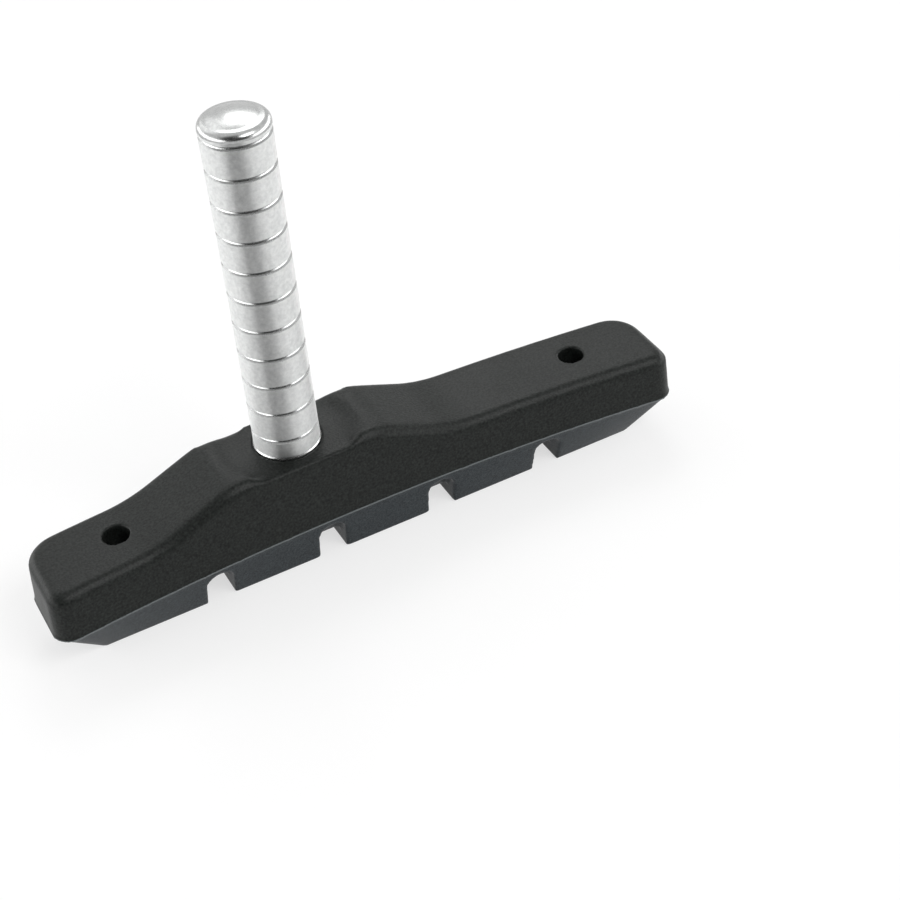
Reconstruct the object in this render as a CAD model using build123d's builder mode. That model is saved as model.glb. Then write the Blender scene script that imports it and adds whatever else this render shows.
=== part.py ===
"""Bicycle rim brake pad: a curved rubber block moulded round a steel plate, with a smooth clamp post.

Millimetres. The braking face lies on z = 0 with the block's middle above the origin, X runs along the
pad, the hollow side of its curve faces -Y and the post points up.
"""
from build123d import *
import os

os.makedirs("parts", exist_ok=True)

# post: its standard diameter sets the scale of everything else
post_d = 7.0
post_x = -6.9                    # the post stands off the block's middle
post_y = 1.27
tip_z = 51.15
tip_d = 5.3
nose_h = 0.8                     # rounded nose below the tip
crown = 0.45
ring_count = 11
ring_depth = 0.25
ring_drop = 0.6                  # highest ring below the nose
ring_rise = 2.3                  # lowest ring above the seat
collar_d = 7.2                   # end of the post's foot, a thin bright ring above the seat
collar_h = 0.3

# block, seen from above: one arc
arc_r = 289.0
pad_y = 1.05                     # arc's apex
pad_len = 72.6
pad_w = 10.7
corner_near = 2.0                # on the hollow side
corner_far = 4.0
draft_angle = 3.5                # the walls lean in above the parting line

# block, heights above the braking face
part_z = 5.1
back_z = 10.5
seat_z = 13.15
crest_z = 13.85
seat_d = 13.6                    # flat of the dished seat for the washer
seat_slope = 55.0                # its side leans out by this from upright, in degrees
boss_half = 8.5                  # half length of the raised middle
ramp_len = 8.6
foot_r = 14.0
crest_r = 9.0
back_bevel = 0.75                # soft edge round the back
flash = 0.12                     # moulding line: reach and thickness
flash_t = 0.2

# braking face: straight on the hollow side, arched on the other
face_len = 63.2
face_near = -3.56
face_far = 4.37
face_arc_r = 229.0
face_corner_near = 0.35
face_corner_far = 2.0

# water grooves: a wrapped channel with an arched end on each side band
groove_count = 4
groove_first = -18.4
groove_pitch = 13.05
groove_w = 3.05
groove_depth = 2.0
groove_top = 4.25
arch_r = 1.3
floor_near = -2.23               # edges of the channel floor
floor_far = 4.67
side_depth = 0.55                # depth left where the channel would meet the parting line
land = 0.6                       # bevel on the lands' corners

# backing plate and the post's foot inside the rubber
plate_t = 1.5
plate_top = 7.6
plate_w = 6.6
plate_len = 61.0
plate_corner = 3.0
foot_d = 9.0                     # tapered foot from the plate up to the seat
tail_d = 5.0
pin_d = 2.9                      # holes left by the mould's locating pins
pin_x = (-26.9, 26.7)
pin_y = 0.225                    # beyond the arc, on the post's side

post_r = post_d / 2
nose_z = tip_z - nose_h
ring_top_z = nose_z - ring_drop
ring_pitch = (ring_top_z - seat_z - ring_rise) / (ring_count - 1)
plate_low = plate_top - plate_t
arc_y = pad_y - arc_r            # centre of the pad's arc
face_y = face_far - face_arc_r   # centre of the braking face's arc
groove_x = [groove_first + groove_pitch * i for i in range(groove_count)]
over = 1.0                       # overshoot of cutting tools


def arc_at(x, r, centre_y):
    """Height y at x of the arc of radius r about (0, centre_y)."""
    return centre_y + (r**2 - x**2) ** 0.5


def strip(z, length, width, near, far):
    """Outline on the pad's arc at height z; near and far round its corners."""
    end = length / 2
    inner = arc_r - width / 2
    outer = arc_r + width / 2
    low = arc_at(end, inner, arc_y)
    high = arc_at(end, outer, arc_y)
    with BuildSketch(Plane.XY.offset(z)) as outline:
        with BuildLine():
            ThreePointArc((-end, low), (0, arc_y + inner), (end, low))
            Line((end, low), (end, high))
            ThreePointArc((end, high), (0, arc_y + outer), (-end, high))
            Line((-end, high), (-end, low))
        make_face()
        fillet(outline.vertices().sort_by(Axis.Y)[2:], far)
        fillet(outline.vertices().sort_by(Axis.Y)[:2], near)
    return outline.sketch


def tread(z, near_y, far_y, near, far):
    """Outline like the braking face at height z: straight at near_y, arched through far_y."""
    end = face_len / 2
    high = arc_at(end, far_y - face_y, face_y)
    with BuildSketch(Plane.XY.offset(z)) as outline:
        with BuildLine():
            Line((-end, near_y), (end, near_y))
            Line((end, near_y), (end, high))
            ThreePointArc((end, high), (0, far_y), (-end, high))
            Line((-end, high), (-end, near_y))
        make_face()
        fillet(outline.vertices().sort_by(Axis.Y)[2:], far)
        fillet(outline.vertices().sort_by(Axis.Y)[:2], near)
    return outline.sketch


# post: turned profile with V rings, rounded nose, collared foot and a tail riveted flush in the plate
with BuildPart() as post:
    with BuildSketch(Plane((post_x, post_y, 0), x_dir=(1, 0, 0), z_dir=(0, -1, 0))):
        with BuildLine():
            Polyline(
                (0, tip_z + crown),
                (0, plate_low),
                (tail_d / 2, plate_low),
                (tail_d / 2, plate_top),
                (foot_d / 2, plate_top),
                (collar_d / 2, seat_z + collar_h / 2),
                (post_r, seat_z + collar_h),
                (post_r, nose_z),
            )
            TangentArc((post_r, nose_z), (tip_d / 2, tip_z), tangent=(0, 1))
            TangentArc((0, tip_z + crown), (tip_d / 2, tip_z), tangent=(1, 0))
        make_face()
        with Locations([(post_r, ring_top_z - ring_pitch * i) for i in range(ring_count)]):
            Rectangle(ring_depth * 2**0.5, ring_depth * 2**0.5, rotation=45, mode=Mode.SUBTRACT)
    revolve(axis=Axis((post_x, post_y, 0), (0, 0, 1)))
post.part.label = "post"
export_step(post.part, "parts/post.step")

# plate: a stamped strip on the pad's arc, pierced for the post's tail
with BuildPart() as plate:
    add(strip(plate_low, plate_len, plate_w, plate_corner, plate_corner))
    extrude(amount=plate_t)
    with BuildSketch(Plane.XY.offset(plate_low)):
        with Locations((post_x, post_y)):
            Circle(tail_d / 2)
    extrude(amount=plate_t, mode=Mode.SUBTRACT)
plate.part.label = "backing_plate"
export_step(plate.part, "parts/backing_plate.step")

# core between the groove floors: it narrows towards the braking face
core_w = pad_w - 2 * side_depth
with BuildPart() as core:
    loft(
        [
            tread(groove_depth, floor_near, floor_far, face_corner_near, face_corner_far),
            strip(part_z, pad_len, core_w, corner_near, corner_far),
        ],
        ruled=True,
    )

# groove tools: arched slots right through, less the core
with BuildPart() as grooves:
    with BuildSketch(Plane.XZ) as arches:
        with Locations([(x, (groove_top - over) / 2) for x in groove_x]):
            Rectangle(groove_w, groove_top + over)
        fillet(arches.vertices().group_by(Axis.Y)[-1], arch_r)
    extrude(amount=pad_w, both=True)
    add(core.part, mode=Mode.SUBTRACT)

# flares: the lands' corners are bevelled where the grooves leave the arched side
band_slope = (pad_w / 2 + pad_y - face_far) / part_z
with BuildPart() as flares:
    with BuildSketch():
        for x in groove_x:
            edge_y = arc_at(x, face_arc_r, face_y)
            with BuildLine():
                Polyline(
                    (x - groove_w / 2, edge_y - land),
                    (x + groove_w / 2, edge_y - land),
                    (x + groove_w / 2 + land + over, edge_y + over),
                    (x - groove_w / 2 - land - over, edge_y + over),
                    close=True,
                )
            make_face()
    extrude(amount=groove_top - arch_r, dir=(0, band_slope, 1))
    add(core.part, mode=Mode.SUBTRACT)

# block: leaning walls under a stepped back, then the tread below the parting line
parting = strip(part_z, pad_len, pad_w, corner_near, corner_far)
with BuildPart() as block:
    add(parting)
    extrude(amount=crest_z - part_z)
    walls = block.faces().filter_by(lambda f: abs(f.normal_at().Z) < 0.5)
    draft(walls, Plane.XY.offset(part_z), draft_angle)
    with BuildSketch(Plane.XZ) as side:
        with BuildLine():
            Polyline(
                (-pad_len, part_z),
                (-pad_len, back_z),
                (post_x - boss_half - ramp_len, back_z),
                (post_x - boss_half, crest_z),
                (post_x + boss_half, crest_z),
                (post_x + boss_half + ramp_len, back_z),
                (pad_len, back_z),
                (pad_len, part_z),
                close=True,
            )
        make_face()
        fillet(side.vertices().group_by(Axis.Y)[-1], crest_r)
        fillet(side.vertices().group_by(Axis.Y)[1].sort_by(Axis.X)[1:-1], foot_r)
    extrude(amount=pad_w * 2, both=True, mode=Mode.INTERSECT)
    tops = block.faces().filter_by(lambda f: f.normal_at().Z > 0.8)
    rim = [e for e in tops.edges() if len([f for f in tops if e in f.edges()]) == 1]
    chamfer(rim, back_bevel)
    with BuildSketch(Plane.XY.offset(seat_z)):
        with Locations((post_x, post_y)):
            Circle(seat_d / 2)
    extrude(amount=crest_z - seat_z + over, taper=-seat_slope, mode=Mode.SUBTRACT)
    loft([tread(0, face_near, face_far, face_corner_near, face_corner_far), parting], ruled=True)
    add(strip(part_z - flash_t / 2, pad_len + 2 * flash, pad_w + 2 * flash, corner_near, corner_far))
    extrude(amount=flash_t)
    add(grooves.part, mode=Mode.SUBTRACT)
    add(flares.part, mode=Mode.SUBTRACT)
    with BuildSketch(Plane.XY.offset(plate_top)):
        with Locations([(x, arc_at(x, arc_r, arc_y) + pin_y) for x in pin_x]):
            Circle(pin_d / 2)
    extrude(amount=back_z, mode=Mode.SUBTRACT)
    add(plate.part, mode=Mode.SUBTRACT)
    add(post.part, mode=Mode.SUBTRACT)
block.part.label = "rubber_block"
export_step(block.part, "parts/rubber_block.step")
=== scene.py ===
# %% [markdown]
# A bicycle rim brake pad on a white studio floor: a curved block of black rubber that is moulded round a
# steel plate, and a bright turned post that the brake arm clamps. The CAD model is loaded first and stays
# where it is. Every piece made here is fitted to it, in metres.

# %% load the CAD frame
from math import acos, cos, degrees, pi, radians, sin

import bpy
from mathutils import Matrix, Vector


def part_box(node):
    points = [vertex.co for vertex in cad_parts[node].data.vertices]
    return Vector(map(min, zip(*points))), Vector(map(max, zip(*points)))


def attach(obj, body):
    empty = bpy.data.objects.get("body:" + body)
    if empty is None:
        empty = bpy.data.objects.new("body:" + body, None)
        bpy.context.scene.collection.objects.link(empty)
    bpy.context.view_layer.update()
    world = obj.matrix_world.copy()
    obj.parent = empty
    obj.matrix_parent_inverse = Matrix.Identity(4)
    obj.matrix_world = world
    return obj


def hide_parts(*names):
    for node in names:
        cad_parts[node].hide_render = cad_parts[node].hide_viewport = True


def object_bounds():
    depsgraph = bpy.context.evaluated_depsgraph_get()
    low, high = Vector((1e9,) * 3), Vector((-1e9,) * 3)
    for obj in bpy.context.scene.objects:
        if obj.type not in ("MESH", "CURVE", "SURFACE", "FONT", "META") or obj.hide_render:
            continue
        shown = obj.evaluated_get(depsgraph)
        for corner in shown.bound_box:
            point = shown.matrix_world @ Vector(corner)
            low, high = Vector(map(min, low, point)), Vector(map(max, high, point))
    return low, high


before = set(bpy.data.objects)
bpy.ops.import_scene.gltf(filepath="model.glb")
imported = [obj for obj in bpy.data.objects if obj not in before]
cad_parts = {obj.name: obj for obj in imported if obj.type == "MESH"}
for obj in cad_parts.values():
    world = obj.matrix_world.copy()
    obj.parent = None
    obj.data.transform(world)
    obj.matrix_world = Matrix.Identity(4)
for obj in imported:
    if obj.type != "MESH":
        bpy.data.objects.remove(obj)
cad_low, cad_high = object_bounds()
MM = 0.001
scene = bpy.context.scene
scene.view_settings.view_transform = "Standard"
print("CAD box in mm:", [round(v / MM, 2) for v in (*cad_low, *cad_high)])

# %% [markdown]
# Materials are node trees. One helper adds a node, sets its properties and numbers, and links its inputs.
# Colours are written as sRGB hex values, as a paint program shows them, and turned to linear light once.

# %% helpers for materials
NOISE_MIDDLE = {"From Min": 0.3, "From Max": 0.7}    # nearly all of a noise's values lie between these


def linear(hex_colour):
    """sRGB hex, such as "#303030", as a linear RGBA colour."""
    parts = [int(hex_colour[i:i + 2], 16) / 255 for i in (1, 3, 5)]
    return (*[c / 12.92 if c <= 0.04045 else ((c + 0.055) / 1.055) ** 2.4 for c in parts], 1)


def node(tree, kind, values=None, links=None, **settings):
    """Add a node: settings are its properties, values its input numbers, links feed its inputs."""
    made = tree.nodes.new(kind)
    for name, value in settings.items():
        setattr(made, name, value)
    for name, value in (values or {}).items():
        made.inputs[name].default_value = value
    for name, socket in (links or {}).items():
        tree.links.new(socket, made.inputs[name])
    return made


def new_material(name):
    """An empty node material: its tree, its output and the piece's own coordinates in metres."""
    material = bpy.data.materials.new(name)
    material.use_nodes = True
    tree = material.node_tree
    tree.nodes.clear()
    output = node(tree, "ShaderNodeOutputMaterial")
    place = node(tree, "ShaderNodeTexCoord").outputs["Object"]
    return material, tree, output, place


# %% [markdown]
# Black rubber, pressed in a steel mould. Such rubber is dark grey rather than black, with a soft, wide
# gloss. The back and walls copy the mould's satin grain. The band below the moulding line is the friction
# compound, a little bluer, and painted lighter: part of its lightness is its own, part a painted reflection
# of the white floor that it faces. Two materials would need the mesh cut along that line, so one material
# tells them apart by height above the braking face. It draws the line as a thin ridge, painted pale as a
# painted highlight.

# %% moulded rubber: colour
PART_Z = 5.1 * MM            # the moulding line's height above the braking face
LINE = 0.14 * MM             # half its width
LINE_CORE = 0.3 * LINE       # half the width of its palest part
GRAIN = 0.18 * MM            # pitch of the friction compound's grain
SKIN = 0.24 * MM             # pitch of the satin grain above the line

rubber, tree, output, place = new_material("moulded_black_rubber")
height = node(tree, "ShaderNodeSeparateXYZ", links={"Vector": place}).outputs["Z"]
friction = node(tree, "ShaderNodeMapRange", {"From Min": PART_Z, "From Max": PART_Z - LINE},
                {"Value": height}).outputs["Result"]
off_line = node(tree, "ShaderNodeMath", {1: PART_Z}, {0: height}, operation="SUBTRACT")
off_line = node(tree, "ShaderNodeMath", None, {0: off_line.outputs["Value"]}, operation="ABSOLUTE")
# the moulding line's mask: it raises the ridge in the relief, and paints a highlight along it in the colour
line = node(tree, "ShaderNodeMapRange", {"From Min": LINE, "From Max": LINE_CORE},
            {"Value": off_line.outputs["Value"]}, interpolation_type="SMOOTHSTEP").outputs["Result"]
grain = node(tree, "ShaderNodeTexNoise", {"Scale": 1 / GRAIN, "Detail": 2.0}, {"Vector": place})
skin = node(tree, "ShaderNodeTexNoise", {"Scale": 1 / SKIN, "Detail": 3.0}, {"Vector": place})

skin_tone = node(tree, "ShaderNodeMapRange", NOISE_MIDDLE, {"Value": skin.outputs["Fac"]})
back_colour = node(tree, "ShaderNodeMix", {"A": linear("#0a0c0b"), "B": linear("#252826")},
                   {"Factor": skin_tone.outputs["Result"]}, data_type="RGBA")
# the friction compound: a little bluer, and lighter partly in its own tone and partly as a painted
# reflection of the white floor
grain_tone = node(tree, "ShaderNodeMapRange", NOISE_MIDDLE, {"Value": grain.outputs["Fac"]})
band_colour_with_painted_sheen = node(tree, "ShaderNodeMix", {"A": linear("#1b1f22"), "B": linear("#383e41")},
                   {"Factor": grain_tone.outputs["Result"]}, data_type="RGBA")
colour = node(tree, "ShaderNodeMix", None,
              {"Factor": friction, "A": back_colour.outputs["Result"], "B": band_colour_with_painted_sheen.outputs["Result"]},
              data_type="RGBA")
# painted highlight: the moulding line's ridge is painted pale, as if it caught the light
colour_with_painted_line_highlight = node(tree, "ShaderNodeMix", {"B": linear("#666b6c")},
             {"Factor": line, "A": colour.outputs["Result"]}, data_type="RGBA")
print("rubber: the colour changes at", round(PART_Z / MM, 2), "mm")

# %% moulded rubber: gloss and relief
SMEAR = 6.0 * MM             # size of the handling marks, which vary the gloss
GLOSS = (0.34, 0.46)         # roughness, from rubbed to dull
RELIEF = 0.045 * MM          # height of the grain
RELIEF_SHOWN = 0.6           # share of it that shows
RIDGE = 2.0                  # height of the moulding line, in grains

smear = node(tree, "ShaderNodeTexNoise", {"Scale": 1 / SMEAR, "Detail": 3.0}, {"Vector": place})
gloss = node(tree, "ShaderNodeMapRange", {"To Min": GLOSS[0], "To Max": GLOSS[1]},
             {"Value": smear.outputs["Fac"]}).outputs["Result"]
relief = node(tree, "ShaderNodeMix", None,
              {"Factor": friction, "A": skin.outputs["Fac"], "B": grain.outputs["Fac"]}, data_type="FLOAT")
ridge = node(tree, "ShaderNodeMath", {1: RIDGE}, {0: line, 2: relief.outputs["Result"]},
             operation="MULTIPLY_ADD")
bump = node(tree, "ShaderNodeBump", {"Strength": RELIEF_SHOWN, "Distance": RELIEF},
            {"Height": ridge.outputs["Value"]})
surface = node(tree, "ShaderNodeBsdfPrincipled", {"IOR": 1.5, "Specular IOR Level": 0.16},
               {"Base Color": colour_with_painted_line_highlight.outputs["Result"], "Roughness": gloss,
                "Normal": bump.outputs["Normal"]})
tree.links.new(surface.outputs["BSDF"], output.inputs["Surface"])
print("material:", rubber.name)

# %% [markdown]
# Bright plated steel. The post is turned on a lathe and zinc plated, so it mirrors the room softly. Turning
# leaves marks round the shank that are too fine to model or to see. They stretch every reflection along the
# post, and an anisotropic shader gives just that. The end, rings and collar are pressed smooth and mirror
# more sharply. Their plating is the same as the shank's, but it is painted greyer there: painted shade that
# darkens the ring grooves and dims the end's highlight. A faint mottle runs over both.

# %% bright plated steel
MOTTLE = 0.4 * MM            # size of the plating's spots
PLATING = 0.02 * MM          # height of the mottle
PLATING_SHOWN = 0.15         # share of it that shows
QUARTER_TURN = 0.25          # from round the post to along it


def plated_steel(name, dark, light, smoothest, dullest, stretch):
    """Zinc plate whose tint and blur vary with its mottle; stretch draws reflections out along the post."""
    material, tree, output, place = new_material(name)
    mottle = node(tree, "ShaderNodeTexNoise", {"Scale": 1 / MOTTLE, "Detail": 4.0, "Roughness": 0.65},
                  {"Vector": place})
    tone = node(tree, "ShaderNodeMapRange", NOISE_MIDDLE, {"Value": mottle.outputs["Fac"]})
    tint = node(tree, "ShaderNodeMix", {"A": linear(dark), "B": linear(light)},
                {"Factor": tone.outputs["Result"]}, data_type="RGBA")
    blur = node(tree, "ShaderNodeMapRange", {"To Min": dullest, "To Max": smoothest},
                {"Value": tone.outputs["Result"]})
    bump = node(tree, "ShaderNodeBump", {"Strength": PLATING_SHOWN, "Distance": PLATING},
                {"Height": mottle.outputs["Fac"]})
    round_it = node(tree, "ShaderNodeTangent", direction_type="RADIAL", axis="Z")
    surface = node(tree, "ShaderNodeBsdfPrincipled",
                   {"Metallic": 1.0, "Anisotropic": stretch, "Anisotropic Rotation": QUARTER_TURN},
                   {"Base Color": tint.outputs["Result"], "Roughness": blur.outputs["Result"],
                    "Normal": bump.outputs["Normal"], "Tangent": round_it.outputs["Tangent"]})
    tree.links.new(surface.outputs["BSDF"], output.inputs["Surface"])
    print("material:", material.name)
    return material


steel = plated_steel("bright_zinc_plated_steel", dark="#b8b9b9", light="#cdcecd",
                     smoothest=0.43, dullest=0.49, stretch=0.95)
# the same plate as the shank, painted greyer: painted shade that darkens the ring grooves and dims the
# end's highlight
smooth_steel_painted_darker = plated_steel("pressed_zinc_plated_steel_painted_darker", dark="#a2a3a3", light="#b8b9b8",
                            smoothest=0.2, dullest=0.3, stretch=0.0)

# %% [markdown]
# Stamped steel for the plate inside the rubber. Sheet that comes off the rolls is dull and faintly streaked
# along its length, here along X. A picture of rolled sheet would serve, but a noise that is drawn out along
# X gives the same streaks and needs no file.

# %% stamped sheet steel
ROLLING = 0.3 * MM           # width of a streak
DRAWN_OUT = 0.08             # its width over its length

sheet, tree, output, place = new_material("stamped_sheet_steel")
streak_place = node(tree, "ShaderNodeMapping", {"Scale": (DRAWN_OUT, 1, 1)}, {"Vector": place})
streaks = node(tree, "ShaderNodeTexNoise", {"Scale": 1 / ROLLING, "Detail": 3.0},
               {"Vector": streak_place.outputs["Vector"]})
tint = node(tree, "ShaderNodeMix", {"A": linear("#7d7f7f"), "B": linear("#9c9e9d")},
            {"Factor": streaks.outputs["Fac"]}, data_type="RGBA")
blur = node(tree, "ShaderNodeMapRange", {"To Min": 0.35, "To Max": 0.5},
            {"Value": streaks.outputs["Fac"]}).outputs["Result"]
surface = node(tree, "ShaderNodeBsdfPrincipled", {"Metallic": 1.0},
               {"Base Color": tint.outputs["Result"], "Roughness": blur})
tree.links.new(surface.outputs["BSDF"], output.inputs["Surface"])
print("material:", sheet.name)

# %% [markdown]
# The backing plate lies inside the rubber and shows only at the bottom of the two pin holes, so its CAD
# solid is good enough and only takes its material.

# %% backing plate
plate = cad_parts["backing_plate"]
plate.data.materials.clear()
plate.data.materials.append(sheet)
print("backing plate keeps its CAD mesh:", len(plate.data.polygons), "triangles")

# %% [markdown]
# The post could be a copy of the CAD solid, but its mesh is coarse for a bright round piece that mirrors
# the room. So it is turned again as by hand: a finely divided cylinder, cut by planes at each ring, with
# the loops of each cut drawn in to a round hollow. Its ends are drawn out step by step.

# %% post: the turned shank
SIDES = 160
POST_R = 3.5 * MM
SEAT_Z = 13.15 * MM          # the rubber's seat for the washer
COLLAR_Z = 13.45 * MM        # where the foot's collar ends
NOSE_Z = 50.35 * MM          # where the rounded nose begins
RING_COUNT = 11
RING_LOW = 15.45 * MM
RING_HIGH = 49.75 * MM
RING_DEPTH = 0.25 * MM       # and half a ring's width
# Cuts across one ring, in the order they are made: the place of each from -1 to 1, and how far from it the
# earlier cuts on its two sides are. A straight wall between those misses the round hollow by span**2.
RING_CUTS = ((-1, 0), (1, 0), (0, 1), (-0.5, 0.5), (0.5, 0.5),
             (-0.75, 0.25), (-0.25, 0.25), (0.25, 0.25), (0.75, 0.25))

post_low, post_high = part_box("post")
post_axis = (post_low + post_high) / 2
post_x, post_y = post_axis.x, post_axis.y
ring_heights = [RING_LOW + (RING_HIGH - RING_LOW) * i / (RING_COUNT - 1) for i in range(RING_COUNT)]

bpy.ops.object.select_all(action="DESELECT")
bpy.ops.mesh.primitive_cylinder_add(vertices=SIDES, radius=POST_R, depth=NOSE_Z - COLLAR_Z,
                                    end_fill_type="NGON",
                                    location=(post_x, post_y, (NOSE_Z + COLLAR_Z) / 2))
post = bpy.context.object
post.name = "turned_post"
bpy.ops.object.transform_apply(location=True, rotation=True, scale=True)
bpy.ops.object.mode_set(mode="EDIT")
for z in ring_heights:
    for step, span in RING_CUTS:
        cut_z = z + step * RING_DEPTH
        cut_r = POST_R - (1 - step**2) * RING_DEPTH
        draw_in = cut_r / (cut_r + span**2 * RING_DEPTH)
        bpy.ops.mesh.select_all(action="SELECT")
        bpy.ops.mesh.bisect(plane_co=(post_x, post_y, cut_z), plane_no=(0, 0, 1))
        bpy.ops.transform.resize(value=(draw_in, draw_in, 1), center_override=(post_x, post_y, cut_z))
bpy.ops.object.mode_set(mode="OBJECT")
print("shank:", len(post.data.vertices), "vertices,", RING_COUNT, "rings")

# %% post: profiles of the nose, crown and foot
TIP_R = 2.65 * MM            # where the nose meets the crown
TIP_Z = 51.15 * MM
TOP_Z = post_high.z
PLATE_TOP = 7.6 * MM
PLATE_LOW = post_low.z
COLLAR_R = 3.6 * MM
LIP_Z = (SEAT_Z + COLLAR_Z) / 2
FOOT_R = 4.5 * MM
TAIL_R = 2.5 * MM
NOSE_STEPS = 8
CROWN_STEPS = 10

nose_h = TIP_Z - NOSE_Z
nose_in = POST_R - TIP_R
nose_r = (nose_h**2 + nose_in**2) / (2 * nose_in)
nose_turn = acos(1 - nose_in / nose_r)
nose_angles = [nose_turn * k / NOSE_STEPS for k in range(1, NOSE_STEPS + 1)]
nose = [(POST_R - nose_r * (1 - cos(a)), NOSE_Z + nose_r * sin(a)) for a in nose_angles]

crown_h = TOP_Z - TIP_Z
crown_r = (TIP_R**2 + crown_h**2) / (2 * crown_h)
crown_radii = [TIP_R * (1 - k / CROWN_STEPS) for k in range(1, CROWN_STEPS)]
crown = [(r, TOP_Z - crown_r + (crown_r**2 - r**2) ** 0.5) for r in crown_radii]

foot = [(COLLAR_R, LIP_Z), (FOOT_R, PLATE_TOP), (TAIL_R, PLATE_TOP), (TAIL_R, PLATE_LOW)]
print("nose radius", round(nose_r / MM, 2), "mm, crown radius", round(crown_r / MM, 2), "mm")

# %% post: ends drawn out
LEVEL = 0.01 * MM            # a face this near to a height is at it
WELD = 0.001 * MM            # points closer than this become one
CREASE = radians(20)         # sharper edges than this stay sharp


def select_cap(obj, z):
    """In edit mode, select only the flat face that closes the piece at height z."""
    bpy.ops.mesh.select_all(action="DESELECT")
    bpy.ops.object.mode_set(mode="OBJECT")
    for face in obj.data.polygons:
        face.select = len(face.vertices) > 4 and abs(face.center.z - z) < LEVEL
    bpy.ops.object.mode_set(mode="EDIT")


def draw_out(start_r, start_z, profile):
    """Extrude the selected cap through (radius, height) steps about the post's axis."""
    r, z = start_r, start_z
    for next_r, next_z in profile:
        grow = next_r / r
        bpy.ops.mesh.extrude_region_move(TRANSFORM_OT_translate={"value": (0, 0, next_z - z)})
        bpy.ops.transform.resize(value=(grow, grow, 1), center_override=(post_x, post_y, next_z))
        r, z = next_r, next_z


bpy.ops.object.mode_set(mode="EDIT")
bpy.ops.mesh.select_mode(type="FACE")
select_cap(post, NOSE_Z)
draw_out(POST_R, NOSE_Z, nose + crown)
select_cap(post, COLLAR_Z)
draw_out(POST_R, COLLAR_Z, foot)
bpy.ops.mesh.select_all(action="SELECT")
bpy.ops.mesh.remove_doubles(threshold=WELD)
bpy.ops.mesh.normals_make_consistent(inside=False)
bpy.ops.object.mode_set(mode="OBJECT")
bpy.ops.object.shade_smooth_by_angle(angle=CREASE)
print("post:", len(post.data.polygons), "faces")

# %% post: two finishes, the pressed one painted darker
post.data.materials.append(steel)
post.data.materials.append(smooth_steel_painted_darker)
# faces in the ring grooves, nose, crown, collar and foot take the steel that is painted darker, as painted
# shade
for face in post.data.polygons:
    in_ring = min(abs(face.center.z - z) for z in ring_heights) < RING_DEPTH
    face.material_index = int(in_ring or not COLLAR_Z < face.center.z < NOSE_Z)
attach(post, "root")
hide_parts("post")
print("post: top at", round(max(v.co.z for v in post.data.vertices) / MM, 2), "mm")

# %% [markdown]
# The block's form is all in the CAD solid, so it starts as a copy of that node. A moulded rubber edge is
# never sharp, and bevelling dozens of edges by hand is slow, so the merged copy is remeshed into small even
# squares, which softens every edge a little. Smoothing then works as a thumb does on clay: a little all
# over, more on the back and its rim, and most on the side of the dished seat, short of the near rim.

# %% rubber block: a remeshed copy
SQUARE = 0.26 * MM           # size of the new mesh's squares

cad_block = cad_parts["rubber_block"]
bpy.ops.object.select_all(action="DESELECT")
cad_block.select_set(True)
bpy.context.view_layer.objects.active = cad_block
bpy.ops.object.duplicate()
block = bpy.context.object
block.name = "rubber_body"
block.data.name = "rubber_body"
for key in [k for k in block.keys() if k.startswith("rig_")]:
    del block[key]
bpy.ops.object.mode_set(mode="EDIT")
bpy.ops.mesh.select_all(action="SELECT")
bpy.ops.mesh.remove_doubles(threshold=2 * WELD)
bpy.ops.object.mode_set(mode="OBJECT")
bpy.ops.mesh.customdata_custom_splitnormals_clear()
block.data.remesh_voxel_size = SQUARE
block.data.use_remesh_preserve_attributes = False
bpy.ops.object.voxel_remesh()
print("block copy:", len(block.data.polygons), "squares")

# %% rubber block: softened edges
PIN_HOLES = ((-26.9 * MM, 0.02 * MM), (26.7 * MM, 0.04 * MM))    # axes of the mould's pins
PIN_CLEAR = 2.2 * MM         # the pin holes' edges are kept this far from their axes
POST_CLEAR = 4.4 * MM        # and the post hole's this far
HOLE_LOW = SEAT_Z - 6 * MM   # just below the plate's top, where the holes end
BACK_LOW = 8.4 * MM          # below the rim all round the back
SEAT_LOW = SEAT_Z - 0.4 * MM    # just below the seat
SEAT_RING = (5.4 * MM, 9.6 * MM)    # round the side of the seat, from the post's axis
RIM_Y = -2.6 * MM            # the rim nearer than this keeps the nicks that the seat cuts in it
ROUNDS_ALL = 3               # rounds of smoothing: all over,
ROUNDS_BACK = 5              # then on the back and its rim,
ROUNDS_SEAT = 60             # and on the side of the seat
HALF_WAY = 0.5               # how far a round moves each point towards the middle of its neighbours
HOLES = [(post_x, post_y, POST_CLEAR)] + [(x, y, PIN_CLEAR) for x, y in PIN_HOLES]


def off_axis(place, x, y):
    """Distance of a place from the upright axis through x, y."""
    return ((place.x - x) ** 2 + (place.y - y) ** 2) ** 0.5


def near_hole(place):
    """Whether a place is at a hole for the post or a pin: those keep their edges."""
    return place.z > HOLE_LOW and any(off_axis(place, x, y) < r for x, y, r in HOLES)


def on_back(place):
    """Whether a place is on the back or its rim."""
    return place.z > BACK_LOW and not near_hole(place)


def on_seat_side(place):
    """Whether a place is on or beside the sloping side of the seat."""
    around = SEAT_RING[0] < off_axis(place, post_x, post_y) < SEAT_RING[1]
    return around and place.z > SEAT_LOW and place.y > RIM_Y


def soften(chosen, rounds):
    """Smooth those of the block's vertices for whose place chosen is true."""
    bpy.ops.object.mode_set(mode="EDIT")
    bpy.ops.mesh.select_mode(type="VERT")
    bpy.ops.mesh.select_all(action="DESELECT")
    bpy.ops.object.mode_set(mode="OBJECT")
    for vertex in block.data.vertices:
        vertex.select = chosen(vertex.co)
    print("softened:", sum(v.select for v in block.data.vertices), "points,", rounds, "rounds")
    bpy.ops.object.mode_set(mode="EDIT")
    bpy.ops.mesh.vertices_smooth(factor=HALF_WAY, repeat=rounds)
    bpy.ops.object.mode_set(mode="OBJECT")


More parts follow.
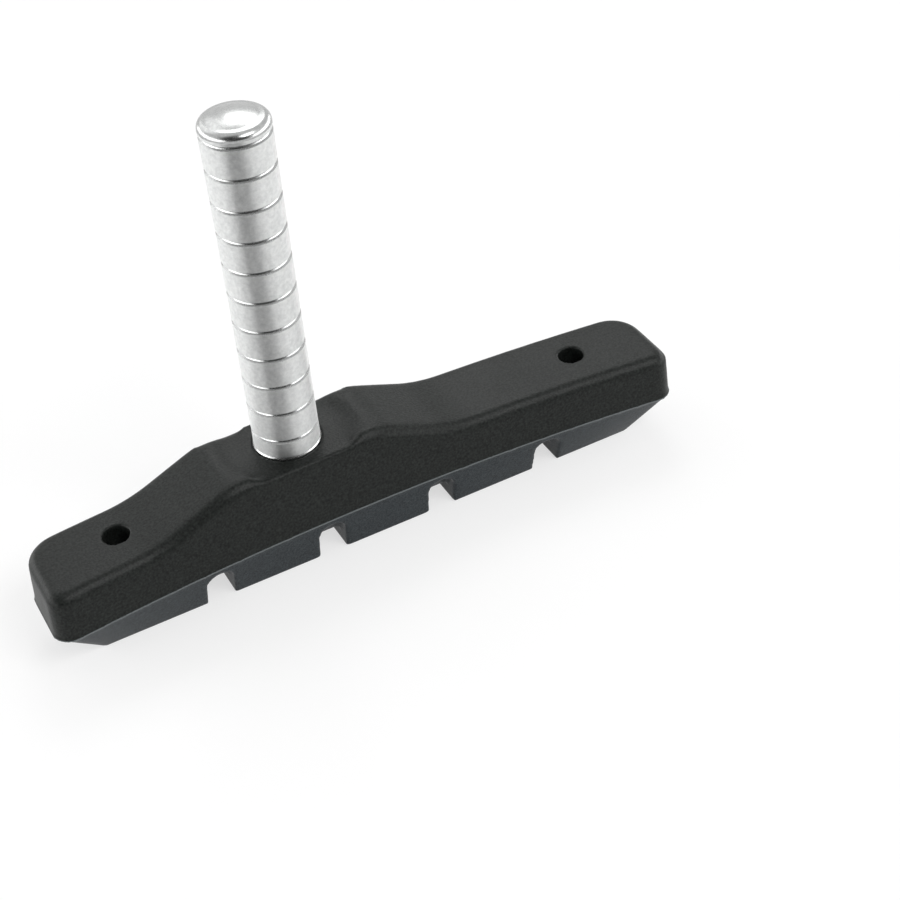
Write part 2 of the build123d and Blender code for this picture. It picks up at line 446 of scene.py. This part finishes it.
soften(lambda place: not near_hole(place), ROUNDS_ALL)
soften(on_back, ROUNDS_BACK)
soften(on_seat_side, ROUNDS_SEAT)

# %% rubber block: shading and material
bpy.ops.object.shade_smooth()
block.data.materials.clear()
block.data.materials.append(rubber)
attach(block, "root")
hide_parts("rubber_block")
print("rubber block:", len(block.data.polygons), "faces")

# %% [markdown]
# A plain white floor. The camera and mirrors see it as white paper with the pad's soft shadow on it. Lamps
# strong enough to make it white would wash out the pad, so most of that white is the paper's own glow, and
# away from the pad it is all glow, so that no edge shows. Light that bounces sees an ordinary white floor.

# %% floor
FLOOR = 20.0                 # m
FLOOR_GAP = 0.02 * MM        # so that the floor and the braking face don't lie in one plane
PAPER_GLOW = 0.65            # share of the floor's white that no shadow can take, beside the pad
FADE = (0.10, 0.25)          # m from the middle, where the glow takes over

bpy.ops.object.select_all(action="DESELECT")
bpy.ops.mesh.primitive_plane_add(size=FLOOR, location=(0, 0, cad_low.z - FLOOR_GAP))
floor = bpy.context.object
floor.name = "studio_floor"
paper, tree, output, place = new_material("white_paper_floor")
rays = node(tree, "ShaderNodeLightPath")
seen = node(tree, "ShaderNodeMath", None,
            {0: rays.outputs["Is Camera Ray"], 1: rays.outputs["Is Glossy Ray"]}, operation="MAXIMUM")
seen = node(tree, "ShaderNodeMath", None,
            {0: seen.outputs["Value"], 1: rays.outputs["Is Transmission Ray"]}, operation="MAXIMUM")
away = node(tree, "ShaderNodeVectorMath", None, {0: place}, operation="LENGTH")
share = node(tree, "ShaderNodeMapRange",
             {"From Min": FADE[0], "From Max": FADE[1], "To Min": PAPER_GLOW, "To Max": 1.0},
             {"Value": away.outputs["Value"]}, interpolation_type="SMOOTHSTEP")
glow = node(tree, "ShaderNodeMath", None,
            {0: seen.outputs["Value"], 1: share.outputs["Result"]}, operation="MULTIPLY")
lit = node(tree, "ShaderNodeBsdfDiffuse", {"Color": linear("#f8f8f8")})
white = node(tree, "ShaderNodeEmission", {"Color": linear("#ffffff"), "Strength": 1.0})
lit_or_white = node(tree, "ShaderNodeMixShader", None,
                    {0: glow.outputs["Value"], 1: lit.outputs["BSDF"], 2: white.outputs["Emission"]})
tree.links.new(lit_or_white.outputs["Shader"], output.inputs["Surface"])
floor.data.materials.append(paper)
print("floor:", FLOOR, "m square")

# %% [markdown]
# Soft studio light. One large lamp would light the rubber, but a bright post shows all that stands round
# it, so each lamp has its own job. A small one behind gives the back its sheen and the crown its white
# spot, and a wider one behind on the left fills in the left ramp. The one in front draws a light line along
# the near rim and the ring edges, and a wide low strip on each side makes the post's flanks white.

# %% lamps
def area_lamp(name, place, aim, wide, high, power):
    """An oblong lamp that faces the point aim; the camera doesn't see it."""
    bpy.ops.object.light_add(type="AREA", location=place)
    lamp = bpy.context.object
    lamp.name = name
    lamp.rotation_euler = (Vector(aim) - Vector(place)).to_track_quat("-Z", "Y").to_euler()
    lamp.data.shape = "RECTANGLE"
    lamp.data.size = wide
    lamp.data.size_y = high
    lamp.data.energy = power
    lamp.visible_camera = False


area_lamp("back_softbox", place=(0.165, 0.34, 0.42), aim=(0, 0, 0), wide=0.22, high=0.22, power=0.62)
area_lamp("left_softbox", place=(-0.15, 0.42, 0.40), aim=(0, 0, 0), wide=0.4, high=0.4, power=0.45)
area_lamp("front_softbox", place=(0.14, -0.36, 0.46), aim=(0, 0, 0.02), wide=0.3, high=0.22, power=1.5)
area_lamp("left_strip", place=(-0.403, 0.119, 0.10), aim=(0, 0, 0.03), wide=1.1, high=0.16, power=1.9)
area_lamp("right_strip", place=(0.408, -0.101, 0.10), aim=(0, 0, 0.03), wide=0.92, high=0.16, power=1.5)

# %% [markdown]
# The room. The camera and mirrors see it as white, and it lights the pad at half that strength. White all
# round would leave the post flat, so to all but the camera it is dark on the camera's side, as a real
# studio is. This gives the post its darker middle.

# %% white room
CAMERA_SIDE = (-0.33, -0.85, 0.42)    # towards the camera
DARK = (0.5, 0.88)           # cosines of the angles off it where the dark begins and where it is full
DARK_LEVEL = 0.04            # the room's brightness there
ROOM_LIGHT = 0.50            # how strongly the white room lights the pad

world = bpy.data.worlds.new("white_room")
scene.world = world
world.use_nodes = True
tree = world.node_tree
tree.nodes.clear()
way = node(tree, "ShaderNodeTexCoord").outputs["Generated"]
facing = node(tree, "ShaderNodeVectorMath", {1: CAMERA_SIDE}, {0: way}, operation="DOT_PRODUCT")
level = node(tree, "ShaderNodeMapRange",
             {"From Min": DARK[0], "From Max": DARK[1], "To Min": 1.0, "To Max": DARK_LEVEL},
             {"Value": facing.outputs["Value"]}, interpolation_type="SMOOTHSTEP")
rays = node(tree, "ShaderNodeLightPath")
mirrored = node(tree, "ShaderNodeMath", None,
                {0: rays.outputs["Is Glossy Ray"], 1: rays.outputs["Is Transmission Ray"]},
                operation="MAXIMUM")
share = node(tree, "ShaderNodeMath", {1: 1 - ROOM_LIGHT, 2: ROOM_LIGHT}, {0: mirrored.outputs["Value"]},
             operation="MULTIPLY_ADD")
white = node(tree, "ShaderNodeMath", None, {0: level.outputs["Result"], 1: share.outputs["Value"]},
             operation="MULTIPLY")
white = node(tree, "ShaderNodeMath", None, {0: white.outputs["Value"], 1: rays.outputs["Is Camera Ray"]},
             operation="MAXIMUM")
room = node(tree, "ShaderNodeBackground", {"Color": linear("#ffffff")},
            {"Strength": white.outputs["Value"]})
node(tree, "ShaderNodeOutputWorld", None, {"Surface": room.outputs["Background"]})
print("world:", world.name)

# %% [markdown]
# The camera stands where the photograph's did: above and to the left of the pad's hollow side, tipped a
# little. It could be set by eye, but its place, aim, roll and lens were worked out from the post, whose
# diameter is known, and from the pad's edges.

# %% camera
CAMERA_PLACE = (-53.45 * MM, -138.44 * MM, 132.50 * MM)
CAMERA_AIM = (13.03 * MM, 4.39 * MM, 0)
CAMERA_ROLL = radians(5.37)
CAMERA_LENS = 72.64          # mm
CAMERA_SENSOR = 36           # mm
CAMERA_CLIP = 10 * MM        # nothing nearer than this is drawn

bpy.ops.object.camera_add(location=CAMERA_PLACE)
camera = bpy.context.object
camera.name = "photo_camera"
aim = (Vector(CAMERA_AIM) - Vector(CAMERA_PLACE)).to_track_quat("-Z", "Y")
camera.rotation_euler = (aim.to_matrix() @ Matrix.Rotation(-CAMERA_ROLL, 3, "Z")).to_euler()
camera.data.lens = CAMERA_LENS
camera.data.sensor_width = CAMERA_SENSOR
camera.data.clip_start = CAMERA_CLIP
scene.camera = camera
print("camera looks down at", round(degrees(pi / 2 - camera.rotation_euler.x)), "degrees")
